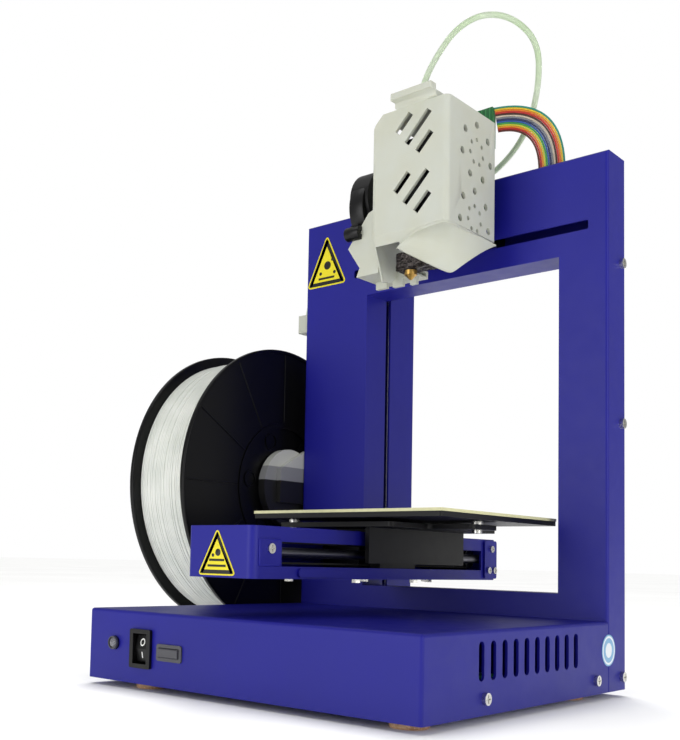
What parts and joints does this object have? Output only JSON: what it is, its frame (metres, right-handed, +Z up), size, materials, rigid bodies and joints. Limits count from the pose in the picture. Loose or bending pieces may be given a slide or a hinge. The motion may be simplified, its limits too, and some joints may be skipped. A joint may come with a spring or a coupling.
{
  "type": "fdm printer",
  "caption": "Desktop filament 3-D printer: steel base and portal, head sliding on the top beam, bed on an arm that climbs a rear column, filament spool at the side.",
  "frame": {"origin": "on the table, under the centre of the base box", "axes": "+X to the right of someone facing the front panel, +Y to the back, +Z up"},
  "size_m": [0.3167, 0.308, 0.4582],
  "materials": {
    "blue_steel": "fine-texture blue-violet powder coat on folded steel sheet",
    "black_steel": "black painted steel",
    "bright_steel": "ground and polished steel",
    "zinc_screw": "bright zinc-plated screws",
    "white_abs": "off-white printed ABS",
    "black_plastic": "black moulded plastic",
    "grey_plastic": "grey moulded plastic",
    "cork": "tan cork-filled rubber pads",
    "green_board": "green circuit board",
    "led_lens": "clear moulded lens in a bright ring",
    "motor_black": "black lacquered stepper motor",
    "belt_rubber": "black neoprene toothed belt",
    "alloy": "plain machined aluminium",
    "brass": "machined brass",
    "foil_wrap": "dark foil-faced insulation wrap",
    "cream_board": "pale perforated laminate",
    "filament": "off-white ABS filament",
    "clear_tube": "translucent tube",
    "ribbon": "rainbow ribbon cable"
  },
  "bodies": {
    "frame": {"base_cover": "blue_steel", "base_bottom_plate": "blue_steel", "feet": "cork", "case_screws": "zinc_screw", "mainboard": "green_board", "status_led": "led_lens", "switch_housing": "black_plastic", "button_bezel": "grey_plastic", "power_inlet": "black_plastic", "usb_socket": "bright_steel", "portal_frame": "blue_steel", "portal_rear_cover": "blue_steel", "x_rods": "bright_steel", "x_end_blocks": "alloy", "x_motor": "motor_black", "x_belt": "belt_rubber", "column_cover": "blue_steel", "column_brackets": "alloy", "z_rods": "bright_steel", "z_motor": "motor_black", "spool_holder": "white_abs", "tube_guide": "white_abs"},
    "rocker": {"switch_rocker": "black_plastic"},
    "button": {"start_button": "grey_plastic"},
    "head": {"head_cover": "white_abs", "head_cap": "white_abs", "head_bracket": "bright_steel", "x_carriage": "black_plastic", "extruder_motor": "motor_black", "extruder_body": "white_abs", "heat_break": "bright_steel", "heater_block": "foil_wrap", "nozzle": "brass", "blower_housing": "black_plastic", "air_duct": "white_abs", "head_board": "green_board", "ribbon_cable": "ribbon", "filament_tube": "clear_tube"},
    "x_motor_pulley": {"x_pulley": "alloy"},
    "x_idler_pulley": {"x_idler": "alloy"},
    "feed_gear": {"drive_gear": "brass"},
    "feed_idler": {"idler_bearing": "bright_steel"},
    "blower_wheel": {"blower_rotor": "black_plastic"},
    "z_arm": {"z_carriage": "alloy", "arm_channel": "blue_steel", "arm_brackets": "blue_steel", "arm_screws": "zinc_screw", "y_rods": "bright_steel", "y_motor": "motor_black", "y_belt": "belt_rubber"},
    "lead_screw": {"leadscrew": "bright_steel"},
    "bed": {"y_carriage": "black_steel", "bed_carrier": "black_steel", "bed_screws": "zinc_screw", "bed_plate": "black_steel", "print_board": "cream_board"},
    "y_motor_pulley": {"y_pulley": "alloy"},
    "y_idler_pulley": {"y_idler": "alloy"},
    "spool": {"spool": "black_plastic", "filament_winding": "filament"}
  },
  "joints": [
    {"name": "power_switch", "type": "hinge", "parent": "frame", "child": "rocker", "pos_m": [-0.073, -0.09925, 0.025], "axis": [1, 0, 0], "range_deg": [-8, 8]},
    {"name": "button_press", "type": "slide", "parent": "frame", "child": "button", "axis": [0, 1, 0], "range_m": [0, 0.0015], "stiffness_N_per_m": 400, "springref_m": -0.0005},
    {"name": "x_axis", "type": "slide", "parent": "frame", "child": "head", "axis": [1, 0, 0], "range_m": [-0.07, 0.07], "deforming": ["ribbon_cable", "filament_tube"]},
    {"name": "x_motor_turn", "type": "hinge", "parent": "frame", "child": "x_motor_pulley", "pos_m": [-0.104, 0.1106, 0.314], "axis": [0, 1, 0], "range_deg": [-760, 760]},
    {"name": "x_idler_turn", "type": "hinge", "parent": "frame", "child": "x_idler_pulley", "pos_m": [0.1137, 0.1106, 0.314], "axis": [0, 1, 0], "range_deg": [-760, 760]},
    {"name": "feed_gear_turn", "type": "hinge", "parent": "head", "child": "feed_gear", "pos_m": [0.01978, 0.04675, 0.339], "axis": [0, 1, 0], "continuous": true},
    {"name": "feed_idler_turn", "type": "hinge", "parent": "head", "child": "feed_idler", "pos_m": [0.00743, 0.04675, 0.339], "axis": [0, 1, 0], "continuous": true},
    {"name": "blower_turn", "type": "hinge", "parent": "head", "child": "blower_wheel", "pos_m": [-0.0275, 0.06575, 0.331], "axis": [1, 0, 0], "continuous": true},
    {"name": "z_axis", "type": "slide", "parent": "frame", "child": "z_arm", "axis": [0, 0, 1], "range_m": [0, 0.15]},
    {"name": "leadscrew_turn", "type": "hinge", "parent": "frame", "child": "lead_screw", "pos_m": [-0.09065, 0.1515, 0.15], "axis": [0, 0, 1], "range_deg": [-10, 6760]},
    {"name": "y_axis", "type": "slide", "parent": "z_arm", "child": "bed", "axis": [0, 1, 0], "range_m": [-0.07, 0.07]},
    {"name": "y_motor_turn", "type": "hinge", "parent": "z_arm", "child": "y_motor_pulley", "pos_m": [-0.00465, 0.15, 0.084], "axis": [1, 0, 0], "range_deg": [-760, 760]},
    {"name": "y_idler_turn", "type": "hinge", "parent": "z_arm", "child": "y_idler_pulley", "pos_m": [-0.00465, -0.083, 0.084], "axis": [1, 0, 0], "range_deg": [-760, 760]},
    {"name": "spool_turn", "type": "hinge", "parent": "frame", "child": "spool", "pos_m": [-0.162, 0.09275, 0.136], "axis": [1, 0, 0], "continuous": true}
  ],
  "couplings": [
    {"joint": "x_motor_turn", "follows": "x_axis", "rad_per_m": 181.82},
    {"joint": "x_idler_turn", "follows": "x_axis", "rad_per_m": 181.82},
    {"joint": "y_motor_turn", "follows": "y_axis", "rad_per_m": -181.82},
    {"joint": "y_idler_turn", "follows": "y_axis", "rad_per_m": -181.82},
    {"joint": "leadscrew_turn", "follows": "z_axis", "rad_per_m": 785.4},
    {"joint": "feed_idler_turn", "follows": "feed_gear_turn", "ratio": -1.12}
  ]
}
